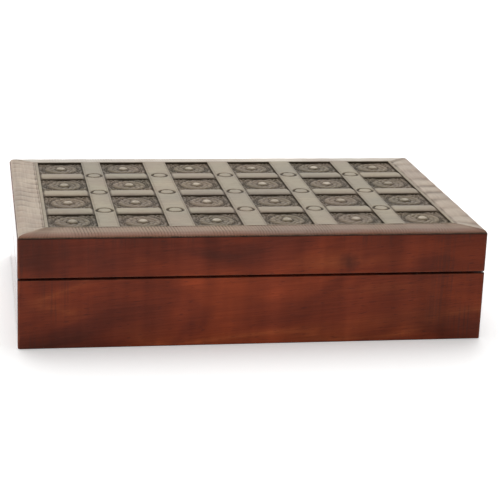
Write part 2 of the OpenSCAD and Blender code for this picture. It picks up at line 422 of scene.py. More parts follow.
def marked(n, group, label, vector, amount):
    """The mask of a wear group, for the mark stored at the points under a label."""
    return n.use(group, {"Mark": n.attribute(label), "Vector": vector, "Amount": amount})["Mask"]


# %% [markdown]
# ### Stained mahogany
# The side boards are stained red-brown. Long flames climb gently to the right, dark patches of
# stain lie between them, and a saw has left faint upright lines near the ends and the top. One
# small knot lies right of the middle, in the lid. The colour is painted darker to the right and at
# the left end, a painted shade, and it is also darker low down. Edges are rubbed bare, and the
# seam, the foot and the ledge under the border are painted dark, a painted shade. The boards share
# one pattern in space, so the figure runs on across the seam, as in a box cut open after it was
# glued. The shine is that of a thin clear varnish: a coat with a low index over a base with hardly
# any shine of its own, so that the front keeps its deep red.

# %% Mahogany colours
STAIN = [(0.0, (0.036, 0.013, 0.009)), (0.36, (0.105, 0.020, 0.010)),
         (0.70, (0.168, 0.029, 0.011)), (1.0, (0.250, 0.043, 0.014))]
RED_STREAK = (0.35, 0.084, 0.026, 1)
DARK_PORE = (0.035, 0.013, 0.010, 1)
SAW_LINE = (0.045, 0.018, 0.013, 1)
KNOT_HEART = (0.030, 0.010, 0.008, 1)
BARE_EDGE = (0.33, 0.12, 0.055, 1)
SEAM_SHADE = (0.010, 0.005, 0.004, 1)
KNOT = (60 * MM, -102 * MM, 55 * MM)
KNOT_HALF = 7.5 * MM


# %% Mahogany
def painted_side_shade(n, position):
    """A factor on the colour, darker towards the bottom of the box, with painted shade to the right and
    at the left end.
    """
    right = n.remap(position["X"], 30 * MM, 150 * MM, 1.0, 0.66)
    left = n.remap(position["X"], -152 * MM, -110 * MM, 0.93, 1.0)
    level = n.remap(position["Z"], 25 * MM, 55 * MM, 0.94, 1.08)
    return n.product(right, left, level)


def saw_marks(n, along, position):
    """Fine upright lines near the ends and the top of the box, in patches: a noise drawn out upwards."""
    line = n.remap(n.noise(n.stretched(along, scale=(1, 1, 0.015)), 620.0, 1.0), 0.52, 0.64)
    near_end = n.remap(n.math("ABSOLUTE", position["X"]), 85 * MM, 150 * MM)
    near_top = n.remap(position["Z"], 62 * MM, 73 * MM, 0.0, 0.8)
    patches = n.remap(n.noise(along, 38.0, 2.0), 0.42, 0.60)
    return n.product(line, n.math("MAXIMUM", near_end, near_top), patches)


def knot_mask(n, place):
    """Strongest in the middle of the knot, and gone, by an uneven line, at KNOT_HALF from it."""
    away = n.add("VectorMath", {0: place, 1: KNOT}, operation="DISTANCE").outputs["Value"]
    uneven = n.vary(n.noise(place, 120.0, 2.0), -1.6 * MM, 1.6 * MM)
    return n.remap(n.math("ADD", away, uneven), 0.5 * MM, KNOT_HALF, 0.68, 0.0)


def mahogany(name, quarter_turn=0.0, climb=5.0):
    """Red-brown stained wood whose grain runs along X, or along Y after a quarter turn."""

    def build(n, place):
        along = n.stretched(place, rotation=(0, 0, quarter_turn))
        tilted = n.stretched(along, rotation=(0, math.radians(climb), 0), move=(0.137, 0.02, 0.011))
        position = n.add("SeparateXYZ", {0: along}).outputs
        wood = n.use(figure, {"Vector": tilted, "Size": 15.0, "Rings": 7.0})
        colour = n.ramp(n.remap(wood["Clouds"], 0.30, 0.68), STAIN)
        streak = n.product(wood["Rings"], n.remap(wood["Clouds"], 0.47, 0.60, 0.0, 0.50))
        colour = fibre_shade(n, n.blend(streak, colour, RED_STREAK), wood)
        chatter = n.noise(n.stretched(along, scale=(1, 1, 0.10)), 75.0, 2.0)
        colour = n.shade(colour, n.vary(chatter, 0.80, 1.12))
        colour = n.blend(n.product(wood["Pores"], 0.5), colour, DARK_PORE)
        # painted shade to the right and at the left end; the colour is also darker towards the bottom
        colour = n.shade(colour, painted_side_shade(n, position))
        saw_mark = saw_marks(n, along, position)
        colour = n.blend(n.product(saw_mark, 0.45), colour, SAW_LINE)
        colour = n.blend(knot_mask(n, place), colour, KNOT_HEART)
        colour = n.blend(marked(n, worn, "edge", along, 0.28), colour, BARE_EDGE)
        # painted shade in the seam, at the foot and on the ledge under the border, through the dirt mask
        colour = n.blend(marked(n, dirt_and_shade, "hollow", along, 0.97), colour, SEAM_SHADE)
        sunk = n.math("ADD", wood["Pores"], n.product(saw_mark, 1.5))
        height = n.math("SUBTRACT", n.product(wood["Fibres"], 0.35), sunk)
        return {"Base Color": colour, "Roughness": n.vary(wood["Clouds"], 0.30, 0.20),
                "Normal": n.bump(height, 0.25, 0.15 * MM)}

    return new_material(name, build, Specular_IOR_Level=0.02, Coat_Weight=1.0, Coat_IOR=1.16,
                        Coat_Roughness=0.1)


MAHOGANY_LONG = mahogany("mahogany_front_and_back")
MAHOGANY_END = mahogany("mahogany_ends", quarter_turn=math.radians(90), climb=-5.0)
print("mahogany:", MAHOGANY_LONG.name, MAHOGANY_END.name)

# %% [markdown]
# ### Carved wood of the panel and the border
# The panel is a paler wood that has gone grey-olive with wax, dark and brown in the cuts. Its
# marks come from the carving: lift is how high a point stands, and the colour runs from dark low
# down to pale high up, partly wax and partly painted shade in the deep ground, on side walls and
# where straps and leaves fall away, with a painted highlight on the tiles' crests. Hollow and proud
# come from the curvature, and hollow also carries this painted shade. The outer mark is greatest
# at the foot of the front border, where the red stain of the side boards has crept up; it is partly
# painted shade too, for the front faces that miss the pale sheen of the top. The front border is
# the brownest, the ends are paler, and the back one is painted pale, a painted sheen.

# %% Carved wood
OUTER_STAIN_AND_SHADE = (0.195, 0.080, 0.045, 1)
WARM_TINGE = (0.25, 0.165, 0.125, 1)
WAX_DIRT_AND_SHADE = (0.028, 0.021, 0.012, 1)
HAND_RUBBED_AND_HIGHLIGHT = (0.60, 0.52, 0.42, 1)


def carved_wood(name, low, middle, high, quarter_turn=0.0):
    """Waxed carved wood, coloured from low in the cuts to high on the crests."""

    def build(n, place):
        along = n.stretched(place, rotation=(0, 0, quarter_turn))
        wood = n.use(figure, {"Vector": along, "Size": 22.0, "Rings": 9.0})
        lifted = n.math("ADD", n.attribute("lift"), n.vary(n.noise(along, 300.0, 3.0), -0.10, 0.10))
        colour = n.ramp(lifted, [(0.0, low), (0.5, middle), (1.0, high)])
        # the outer mark: stain crept up from the side boards, and partly painted shade for front faces
        # that miss the top's pale sheen
        colour = n.blend(n.attribute("outer"), colour, OUTER_STAIN_AND_SHADE)
        tinge = n.remap(n.noise(along, 26.0, 2.0), 0.38, 0.62)
        colour = n.blend(n.product(tinge, 0.30), colour, WARM_TINGE)
        colour = fibre_shade(n, colour, wood)
        colour = n.shade(colour, n.vary(wood["Clouds"], 0.76, 1.14))
        # wax dirt from the curvature, and painted shade in the deep ground, by the walls, on side walls
        # and where the carving falls away
        dirt_and_shade_share = marked(n, dirt_and_shade, "hollow", along, 0.92)
        colour = n.blend(dirt_and_shade_share, colour, WAX_DIRT_AND_SHADE)
        # rubbed wear, and on the tiles' crests also a painted highlight
        colour = n.blend(marked(n, worn, "proud", along, 0.7), colour, HAND_RUBBED_AND_HIGHLIGHT)
        height = n.math("SUBTRACT", n.product(wood["Fibres"], 0.5), wood["Pores"])
        rough = n.remap(n.math("ADD", wood["Clouds"], dirt_and_shade_share), 0.3, 1.2, 0.38, 0.70)
        return {"Base Color": colour, "Roughness": rough, "Normal": n.bump(height, 0.2, 0.12 * MM)}

    return new_material(name, build, Specular_IOR_Level=0.22)


CARVED = carved_wood(
    "carved_panel", (0.060, 0.043, 0.024), (0.165, 0.128, 0.080), (0.295, 0.252, 0.178))
BORDER_LONG = carved_wood(
    "carved_border_front", (0.07, 0.040, 0.026), (0.17, 0.110, 0.072), (0.255, 0.170, 0.112))
# the back border's pale colours are a painted sheen
BORDER_BACK_PAINTED_SHEEN = carved_wood(
    "carved_border_back_painted_sheen", (0.22, 0.175, 0.135), (0.36, 0.305, 0.245), (0.54, 0.49, 0.42))
BORDER_END = carved_wood(
    "carved_border_ends", (0.14, 0.105, 0.075), (0.25, 0.195, 0.145), (0.40, 0.325, 0.25),
    quarter_turn=math.radians(90))
print("carved woods:", CARVED.name, BORDER_LONG.name, BORDER_BACK_PAINTED_SHEEN.name, BORDER_END.name)

# %% [markdown]
# ### Plain inner woods
# Inside, the pit board is oiled and worn smooth, and the floor, rails and the panel's underside
# are planed wood.

# %% Inner woods
def darker(colour, share):
    """A colour divided by share, as the four numbers that a socket takes."""
    return (colour[0] / share, colour[1] / share, colour[2] / share, 1)


def plain_wood(name, dark, light, rough, size=18.0):
    """Planed wood with visible growth rings, a little darker where a piece's marks say it is hollow."""

    def build(n, place):
        wood = n.use(figure, {"Vector": place, "Size": size, "Rings": 16.0})
        colour = n.ramp(n.remap(wood["Clouds"], 0.25, 0.75), [(0.0, dark), (1.0, light)])
        colour = n.blend(n.product(wood["Rings"], 0.45), colour, (*dark, 1))
        colour = fibre_shade(n, colour, wood)
        colour = n.blend(n.product(wood["Pores"], 0.3), colour, darker(dark, 3))
        colour = n.blend(marked(n, dirt_and_shade, "hollow", place, 0.4), colour, darker(dark, 2.5))
        height = n.math("SUBTRACT", n.product(wood["Fibres"], 0.4), wood["Pores"])
        return {"Base Color": colour, "Roughness": n.vary(wood["Clouds"], rough, rough + 0.1),
                "Normal": n.bump(height, 0.2, 0.12 * MM)}

    return new_material(name, build, Specular_IOR_Level=0.4)


PIT_WOOD = plain_wood("pit_board_wood", (0.20, 0.095, 0.045), (0.36, 0.19, 0.095), 0.32)
INNER_WOOD = plain_wood("inner_wood", (0.32, 0.20, 0.10), (0.50, 0.34, 0.18), 0.55, size=26.0)
UNDER_WOOD = plain_wood("panel_under_wood", (0.16, 0.095, 0.05), (0.27, 0.175, 0.10), 0.5, size=20.0)
print("inner woods:", PIT_WOOD.name, INNER_WOOD.name, UNDER_WOOD.name)

# %% [markdown]
# ### Brass, steel and stone
# The hinges are old brass: brown where it has tarnished and bright where it rubs. The pins are
# drawn steel. The seeds are tumbled stones, so each gets its own colour from a value stored at
# its points, with veins through it.

# %% Metals
TARNISH = [(0.0, (0.62, 0.42, 0.16)), (0.6, (0.42, 0.27, 0.11)), (1.0, (0.17, 0.11, 0.06))]
GREY_BLOOM = [(0.35, (0.56, 0.55, 0.52)), (0.7, (0.34, 0.32, 0.29))]


def brass_build(n, place):
    """Tarnish in soft patches over brushed yellow metal."""
    patch = n.remap(n.noise(place, 190.0, 4.0, 0.6), 0.38, 0.66)
    brush = n.noise(n.stretched(place, scale=(0.05, 1, 1)), 4200.0, 2.0)
    rough = n.math("ADD", n.remap(patch, 0, 1, 0.24, 0.50), n.vary(brush, -0.04, 0.06))
    return {"Base Color": n.ramp(patch, TARNISH), "Roughness": rough,
            "Normal": n.bump(brush, 0.15, 0.05 * MM)}


def steel_build(n, place):
    """Drawn wire: fine lines along its length and a little grey bloom."""
    line = n.noise(n.stretched(place, scale=(0.02, 1, 1)), 5200.0, 2.0)
    return {"Base Color": n.ramp(n.noise(place, 260.0, 3.0), GREY_BLOOM),
            "Roughness": n.vary(line, 0.25, 0.4), "Normal": n.bump(line, 0.2, 0.04 * MM)}


BRASS = new_material("aged_brass", brass_build, Metallic=1.0)
STEEL = new_material("drawn_steel", steel_build, Metallic=1.0)
print("metals:", BRASS.name, STEEL.name)

# %% Stone
STONE_COLOURS = [(0.0, (0.045, 0.13, 0.15)), (0.2, (0.16, 0.055, 0.03)), (0.4, (0.10, 0.14, 0.07)),
                 (0.6, (0.36, 0.24, 0.12)), (0.8, (0.075, 0.085, 0.11)), (1.0, (0.45, 0.40, 0.33))]
PALE_VEIN = (0.62, 0.58, 0.50, 1)
DARK_FLECK = (0.03, 0.028, 0.025, 1)


def stone_build(n, place):
    """Each seed's own colour, clouded, crossed by pale veins, and flecked."""
    cloud = n.noise(place, 140.0, 4.0, 0.6, 1.2)
    colour = n.shade(n.ramp(n.attribute("tint"), STONE_COLOURS), n.vary(cloud, 0.55, 1.5))
    vein = n.math("ABSOLUTE", n.math("SUBTRACT", n.noise(place, 85.0, 3.0, 0.6, 2.0), 0.5))
    colour = n.blend(n.remap(vein, 0.0, 0.022, 0.55, 0.0), colour, PALE_VEIN)
    fleck = n.remap(n.noise(place, 900.0, 2.0), 0.62, 0.70)
    colour = n.blend(n.product(fleck, 0.5), colour, DARK_FLECK)
    return {"Base Color": colour, "Roughness": n.vary(cloud, 0.10, 0.22),
            "Normal": n.bump(n.noise(place, 420.0, 2.0), 0.08, 0.1 * MM)}


STONE = new_material("tumbled_stone", stone_build, Coat_Weight=0.4, Coat_Roughness=0.08)
print("stone:", STONE.name)

# %% [markdown]
# ## The carved tiles
# Each sunk tile holds a rosette: a dome, a ring of petals, a rope twisted round them, and a
# drilled eye with gouged rays in every corner, all on a ground stippled with a punch. Seen from
# above a carving never folds over itself, so it is a height for each point of a square grid. The
# parts of the design are worked out one by one, and the highest wins, which is how a carver
# leaves them standing while the ground goes down. Every tile is cut by hand, so each is turned
# and shifted a little, by a seeded random draw. In these cells the carving is in millimetres, and
# MM is applied once at the end.

# %% Parts of the carving
HALF_TILE = TILE / MM / 2
DOME_R, DOME_HIGH = 3.8, 2.3
PETAL_R, PETAL_HALF, PETAL_HIGH = 6.2, 1.9, 1.25
ROPE_R, ROPE_HALF, ROPE_HIGH = 9.6, 2.1, 1.5
EYE_INSET, EYE_R = 3.9, 1.5
CURL_R, CURL_HALF, CURL_HIGH = 1.9, 0.75, 0.9
LEAF_FROM_EYE, LEAF_FROM_MIDDLE = 2.2, 13.2
DENT_PITCH, DENT_DEEP, DENT_CELLS = 1.5, 0.5, 64
FULL_TURN = 6.28


def round_bar(distance, half_width):
    """The round top of a bar: the square root of 1 minus the square of distance over half_width."""
    return np.sqrt(np.clip(1 - (distance / half_width) ** 2, 0, 1))


def punched_ground(x, y, draws):
    """Small round dents, one at random in each cell of a grid: the nearest dent's hump, turned down."""
    cells = draws.uniform(0.15, 0.85, (DENT_CELLS, DENT_CELLS, 2))
    column = np.floor(x / DENT_PITCH).astype(int)
    row = np.floor(y / DENT_PITCH).astype(int)
    nearest = np.full(x.shape, 9.0)
    for step_x, step_y in np.ndindex(3, 3):
        near_column = column + step_x - 1
        near_row = row + step_y - 1
        spot = cells[near_column % DENT_CELLS, near_row % DENT_CELLS]
        apart_x = x / DENT_PITCH - near_column - spot[..., 0]
        apart_y = y / DENT_PITCH - near_row - spot[..., 1]
        nearest = np.minimum(nearest, np.hypot(apart_x, apart_y))
    return DENT_DEEP * (1 - hump(nearest, 0.62))


def corner_leaf(x, y, from_middle):
    """Rays cut round a drilled eye in each corner, and a curl round the eye.

    The distance from the two nearest walls makes all four corners alike. Rays are the absolute cosine
    of a multiple of the angle about the eye. It returns the height and how much of a point is eye.
    """
    across = HALF_TILE - np.abs(x) - EYE_INSET
    along = HALF_TILE - np.abs(y) - EYE_INSET
    from_eye = np.hypot(across, along)
    rays = np.abs(np.cos(4.5 * np.arctan2(along, across))) ** 0.8
    outside_eye = smooth_step((from_eye - LEAF_FROM_EYE) / 0.9)
    outside_rope = smooth_step((from_middle - LEAF_FROM_MIDDLE) / 1.0)
    leaf = (0.10 + 0.75 * rays) * outside_eye * outside_rope
    curl = CURL_HIGH * round_bar(from_eye - CURL_R, CURL_HALF)
    return np.maximum(leaf, curl), hump(from_eye, EYE_R)


def rosette_height(x, y, draws):
    """Height of a whole tile above its ground, from distance and angle about a middle a little off."""
    off_x, off_y = draws.uniform(-0.35, 0.35, 2)
    angle = np.arctan2(y - off_y, x - off_x) + draws.uniform(0, FULL_TURN)
    distance = np.hypot(x - off_x, y - off_y) * (1 + 0.012 * np.sin(3 * angle))
    twist = 0.55 + 0.45 * np.abs(np.cos(7 * angle + 0.75 * (distance - ROPE_R))) ** 0.7
    rope = ROPE_HIGH * round_bar(distance - ROPE_R, ROPE_HALF) * twist
    lobes = 0.45 + 0.55 * np.abs(np.cos(4 * angle + 0.5 * distance)) ** 0.7
    petals = PETAL_HIGH * round_bar(distance - PETAL_R, PETAL_HALF) * lobes
    dome = DOME_HIGH * round_bar(distance, DOME_R)
    leaf, eye = corner_leaf(x, y, np.hypot(x, y))
    ground = punched_ground(x + 40, y + 40, draws)
    height = np.maximum.reduce([ground, rope, petals, dome, leaf])
    return height * (1 - eye) - 0.35 * eye


print("rosette: dome", DOME_R, "petals", PETAL_R, "rope", ROPE_R, "mm from the middle")

# %% Make the 24 tiles
PANEL_JOIN = PANEL_UNDER + 6.7 * MM
GROUND = TOP - TILE_DEPTH
TILE_STEPS = 97


def tile_marks(x, y, height):
    """Where a tile is dark, pale and rubbed, by its curvature, its depth and the part of the design:
    painted shade in the deep ground, by the walls and outside the rope, and a painted highlight with the
    rub on the crests.
    """
    hollow, proud = wear_marks(height, TILE / MM / (TILE_STEPS - 1), 0.55)
    from_middle = np.hypot(x, y)
    from_wall = HALF_TILE - np.maximum(np.abs(x), np.abs(y))
    wall_shade = 1 - smooth_step(from_wall / 1.6)
    # deep, wall_shade and the dark ground outside the rope are painted shade
    deep = np.clip(1 - height / 0.9, 0, 1)
    outside = smooth_step((from_middle - 11.2) / 1.2)
    # the crests are painted pale: partly rubbed, partly a painted highlight on the domes
    crest_rub_and_highlight = smooth_step((height - 1.35) / 0.6) * (1 - outside)
    speck = outside * smooth_step((height - 0.38) / 0.10)
    lift = np.clip(0.58 * height / 1.5, 0, 0.58) * (1 - 0.6 * outside) + 0.40 * crest_rub_and_highlight + 0.20 * speck
    rubbed = proud * (0.20 + 0.80 * crest_rub_and_highlight) * (1 - 0.6 * outside) + 0.9 * crest_rub_and_highlight * (from_middle < 3.2)
    dark = 0.6 * hollow + 0.55 * deep + wall_shade + 0.40 * outside * (1 - speck)
    return {"lift": lift, "proud": np.clip(rubbed, 0, 1), "hollow": np.clip(dark, 0, 1)}


def carved_tile(name, x_middle, y_middle, draws):
    """One tile as a closed block whose top is the rosette."""
    line = np.linspace(-HALF_TILE, HALF_TILE, TILE_STEPS)
    x, y = np.meshgrid(line, line)
    height = rosette_height(x, y, draws)
    xs = x_middle + line * MM
    ys = y_middle + line * MM
    points, faces, extra = block(xs, ys, GROUND + height * MM, PANEL_JOIN)
    marks = {label: np.append(values.ravel(), np.zeros(extra))
             for label, values in tile_marks(x, y, height).items()}
    link(name, make_mesh(name, points, faces, marks), "lid", ["lid_panel"], CARVED)


carver = np.random.default_rng(41)
for row, y_middle in enumerate(ROW_Y):
    for column, x_middle in enumerate(COLUMN_X):
        carved_tile(f"carved_tile_{row + 1}_{column + 1}", x_middle, y_middle, carver)
print("tiles:", len(ROW_Y) * len(COLUMN_X), "ground at", round(GROUND, 5))

# %% [markdown]
# ## The straps between the tiles
# Flat straps run from front to back between the columns, each with a thin line scored along both
# edges, and a small disc in a ring where a row of cross bars meets it. The cross bars are
# rounder, and dive under the straps at their ends, so the whole lattice looks woven. These are
# height grids too, cut to the tiles' uneven spacing. A skirt of points just under each rim lets
# the side walls be painted dark at once, a painted shade, while the rim stays pale. Where a strap
# or bar falls away, at its rounded edges and where it dives, it is painted darker too, a painted
# shade.

# %% Strap surfaces
EDGE_ROUND = 0.55
THIN_EDGE_ROUND = 0.2
SCORE_IN, SCORE_HALF, SCORE_DEEP = 1.25, 0.5, 0.20
DISC_R, DISC_ROUND, DISC_ROUND_FROM = 4.4, 0.5, 3.9
RING_R, RING_HALF, RING_DEEP = 5.25, 1.6, 1.25
BAR_CROWN = 0.65
DIVE, DIVE_LENGTH = 0.75, 2.2
DISC_Y = (ROW_Y[1:] + ROW_Y[:-1]) / 2 / MM


def edge_drop(edge, radius):
    """How far a quarter-round edge falls below the top, at a distance edge in from the side."""
    return radius * (1 - np.sqrt(1 - (1 - np.clip(edge / radius, 0, 1)) ** 2))


def long_strap_fall(across, along, half_width):
    """How far a flat strap lies below the carved top.

    It has a soft crown, rounded edges, a scored line along both, and a disc in a ring at each crossing.
    """
    edge = half_width - np.abs(across)
    fall = 0.12 + 0.20 * np.abs(across / half_width) ** 3 + edge_drop(edge, EDGE_ROUND)
    fall = fall + SCORE_DEEP * hump(edge - SCORE_IN, SCORE_HALF)
    for crossing in DISC_Y:
        from_disc = np.hypot(across, along - crossing)
        rounding = smooth_step((from_disc - DISC_ROUND_FROM) / DISC_ROUND)
        fall = np.where(from_disc < DISC_R, 0.02 + 0.25 * rounding, fall)
        fall = np.maximum(fall, RING_DEEP * hump(from_disc - RING_R, RING_HALF))
    return fall


def cross_bar_fall(across, along, half_width, half_length):
    """How far a rounded bar lies below the carved top: a round crown, and a dive at both ends."""
    edge = half_width - np.abs(across)
    crown = BAR_CROWN * np.abs(across / half_width) ** 2.2
    dive = DIVE * (1 - smooth_step((half_length - np.abs(along)) / DIVE_LENGTH))
    return 0.10 + crown + edge_drop(edge, EDGE_ROUND) + dive


def thin_strip_fall(first_edge, other_edge, radius):
    """How far a strip too thin for a crown lies below the carved top: only its edges are rounded."""
    return 0.15 + edge_drop(np.minimum(first_edge, other_edge), radius)


print("discs at", np.round(DISC_Y, 1), "mm from the middle of each strap")

# %% Strap pieces
SKIRT = 0.35 * MM
THIN_STRIP = 5.0
STRAP_PITCH, BAR_PITCH = 0.5, 0.6


def height_field(xs, ys, fall, pitch):
    """A closed block and its marks of wear and painted shade, from how far each point lies below the
    carved top, in mm.
    """
    points, faces, extra = block(xs * MM, ys * MM, TOP - fall * MM, PANEL_JOIN, SKIRT)
    hollow, proud = wear_marks(-fall, pitch, 0.30)
    # painted shade: low darkens the places that fall away, the rounded edges, the dives and the ring
    # groove
    low = smooth_step((fall - 0.28) / 0.7)
    lift = 1 - 0.62 * low - np.clip(0.9 * (fall - 0.12), 0, 0.25)
    marks = {"lift": lift, "proud": 0.5 * proud * (1 - low),
             "hollow": np.clip(0.5 * hollow + 0.52 * low * low, 0, 1)}
    # the side walls under the skirt take a full painted shade
    below = {"lift": 0.0, "proud": 0.0, "hollow": 1.0}
    marks = {label: np.append(values.ravel(), np.full(extra, below[label]))
             for label, values in marks.items()}
    return points, faces, marks


def joined_piece(name, parts):
    """Several closed blocks as one piece of the carved panel."""
    points, faces = join([(points, faces) for points, faces, _ in parts])
    marks = {label: np.concatenate([part[2][label] for part in parts]) for label in parts[0][2]}
    link(name, make_mesh(name, points, faces, marks), "lid", ["lid_panel"], CARVED)


def strip_grid(x_low, x_high, y_low, y_high, pitch):
    """Grid lines of a strip in x and y, and where each point is: closer together at the edges."""
    close = EDGE_ROUND * 1.4
    xs = spaced(x_low, x_high, pitch, close)
    ys = spaced(y_low, y_high, pitch, close)
    return xs, ys, *np.meshgrid(xs, ys)


def walls_between(tile_middles, field_half):
    """The two walls of each strip beside and between the tiles, in mm."""
    middles = tile_middles / MM
    ends = [-field_half, field_half]
    return np.sort(np.concatenate([middles - HALF_TILE, middles + HALF_TILE, ends])).reshape(-1, 2)


field_y = FIELD_D / MM / 2
strap_walls = walls_between(COLUMN_X, FIELD_W / MM / 2)
bar_walls = walls_between(ROW_Y, field_y)
print("strap widths (mm):", np.round(strap_walls[:, 1] - strap_walls[:, 0], 1))

# %% Make the straps and bars
for number, (left, right) in enumerate(strap_walls):
    xs, ys, x, y = strip_grid(left, right, -field_y, field_y, STRAP_PITCH)
    if right - left > THIN_STRIP:
        fall = long_strap_fall(x - (left + right) / 2, y, (right - left) / 2)
    else:
        fall = thin_strip_fall(x - left, right - x, EDGE_ROUND)
    joined_piece(f"strap_{number + 1}", [height_field(xs, ys, fall, STRAP_PITCH)])

for number, (front, back) in enumerate(bar_walls):
    bars = []
    for x_middle in COLUMN_X / MM:
        xs, ys, x, y = strip_grid(x_middle - HALF_TILE, x_middle + HALF_TILE, front, back, BAR_PITCH)
        if back - front > THIN_STRIP:
            fall = cross_bar_fall(y - (front + back) / 2, x - x_middle, (back - front) / 2, HALF_TILE)
        else:
            fall = thin_strip_fall(y - front, back - y, THIN_EDGE_ROUND)
        bars.append(height_field(xs, ys, fall, BAR_PITCH))
    joined_piece(f"cross_bars_{number + 1}", bars)
print("straps:", len(strap_walls), "rows of cross bars:", len(bar_walls))

# %% [markdown]
# ### The board they are carved from
# Under the carving the panel is one plain board that closes the lid. Its underside is what the
# players see when the lid is open. All its edges are hidden in the lid, so a plain closed block
# is the whole of its shape.

# %% Panel board
panel_x = np.linspace(-1, 1, 41) * (HALF_W - WALL)
panel_y = np.linspace(-1, 1, 27) * (HALF_D - WALL)
panel_top = np.full((len(panel_y), len(panel_x)), PANEL_UNDER + 6.75 * MM)
panel_points, panel_faces, _ = block(panel_x, panel_y, panel_top, PANEL_UNDER)
panel_mesh = make_mesh("panel_board", panel_points, panel_faces)
link("panel_board", panel_mesh, "lid", ["lid_panel"], UNDER_WOOD)
print("panel board: underside at", round(PANEL_UNDER, 4), "m")

# %% [markdown]
# ## Boards and mouldings along the sides
# Every side of the box is a bar with one section that runs the whole side and meets its
# neighbours in mitres. So one sweep makes them all: a section drawn as distance in from the face
# and height, carried along the front, and turned to its side. Near an end the bar leans over to
# the mitre. The upright corners are rounded by bending each square shell of the corner, at one
# depth, into an arc about the corner's centre.

# %% The sweep
FRONT, RIGHT, BACK, LEFT = 0, 90, 180, 270
LEAN = 26 * MM


def side_sweep(turn, stations, inward, height, mitre, corner_r, set_in=0.0):
    """Points and faces of a closed bar along one side.

    stations (n) are places along the side; inward and height are arrays (n, section). A point's place
    along is its station, until the last stretch of length LEAN, which is scaled so that it ends at half
    the side less mitre times inward. Within corner_r of the corner, a point at depth d goes to the arc
    of radius corner_r - d. A whole number of quarter turns then carries the front's bar to its side.
    """
    half, face = (HALF_W, HALF_D) if turn % 180 == 0 else (HALF_D, HALF_W)
    flat = half - LEAN
    beyond = np.maximum(np.abs(stations) - flat, 0)[:, None] / LEAN
    end = half - mitre * inward
    along = np.where(beyond > 0, flat + beyond * (end - flat), np.abs(stations)[:, None])
    depth = inward - set_in
    middle = half - set_in - corner_r
    share = np.clip((along - middle) / np.maximum(corner_r - depth, 1e-9), 0, 1)
    angle = share * math.pi / 4
    bent = (depth < corner_r) & (along > middle)
    x = np.where(bent, middle + (corner_r - depth) * np.sin(angle), along)
    y = np.where(bent, set_in + corner_r - face - (corner_r - depth) * np.cos(angle), inward - face)
    x = x * np.sign(stations)[:, None]
    cosine = round(math.cos(math.radians(turn)))
    sine = round(math.sin(math.radians(turn)))
    points = np.stack([cosine * x - sine * y, sine * x + cosine * y, height], -1)
    return points.reshape(-1, 3), tube_faces(*inward.shape)


def side_stations(turn, pitch, corner_r, extra=()):
    """Places along a side: pitch apart, close together over the rounded corners, and any extra ones."""
    half = HALF_W if turn % 180 == 0 else HALF_D
    inner = spaced(-half + 2.5 * MM, half - 2.5 * MM, pitch)
    close = half - corner_r * np.array([0, 0.12, 0.3, 0.5, 0.7, 0.9, 1.1])
    return np.unique(np.concatenate([-close, inner, close, extra]))


print("mitres reach", round(LEAN / MM), "mm in from each corner")

# %% [markdown]
# ### The side boards
# The eight side boards carry the mahogany finish. A board's section is a plain oblong, with a
# rebate under the base's boards for the floor, and every corner of it is eased to a small quarter
# round, where the finish has rubbed through. The hinges' leaves lie in shallow mortises, so the
# rim of the back boards steps down there.

# %% Side boards
EDGE_LOOP = 0.25 * MM
SEAM = (BASE_RIM + LID_RIM) / 2
SEAM_DARK = 1.0 * MM


def eased_section(corners, radii):
    """A section with quarter-round corners, and the wear of each point: 1 on a corner and 0 beside it.

    Walking round, a is the direction into a corner and b the one out of it. The arc runs from the corner
    less radius times a to the corner plus radius times b, and one more point lies just before and just
    after it.
    """
    corners = np.array(corners)
    radius = np.array(radii)[:, None, None]
    into = corners - np.roll(corners, 1, 0)
    into = (into / np.linalg.norm(into, axis=1, keepdims=True))[:, None, :]
    out = np.roll(into, -1, 0)
    angle = np.radians([0, 30, 60, 90])[None, :, None]
    arc = corners[:, None, :] - radius * into + radius * out
    arc = arc - radius * out * np.cos(angle) + radius * into * np.sin(angle)
    before = corners[:, None, :] - (radius + EDGE_LOOP) * into
    after = corners[:, None, :] + (radius + EDGE_LOOP) * out
    wear = np.tile([0, 1, 1, 1, 1, 0], (len(corners), 1))
    return np.concatenate([before, arc, after], axis=1).reshape(-1, 2), wear.ravel()


print("seam at", round(SEAM / MM, 2), "mm")

# %% Make the side boards
LET_IN = HALF_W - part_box("base_floor")[1].x
FLOOR_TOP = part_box("base_floor")[1].z
LEAF_T = 1 * MM
SEAT_STEP = 0.02 * MM
RIM_BAND = 1.6 * MM
FACE_BAND = 0.7 * MM
HINGE_ENDS = [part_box("hinge_base_leaf_" + side)[end].x for side in ("left", "right") for end in (0, 1)]


def hidden_from_light(section, turn):
    """Which points of a section lie in the seam, at the foot, or on a long side's ledge."""
    level = section[:, 1]
    in_seam = np.abs(level - SEAM) < SEAM_DARK
    on_ledge = (level > LID_WALL_TOP - 0.3 * MM) & (turn % 180 == 0)
    at_foot = level < 0.4 * MM
    return (section[:, 0] < FACE_BAND) & (in_seam | on_ledge | at_foot)


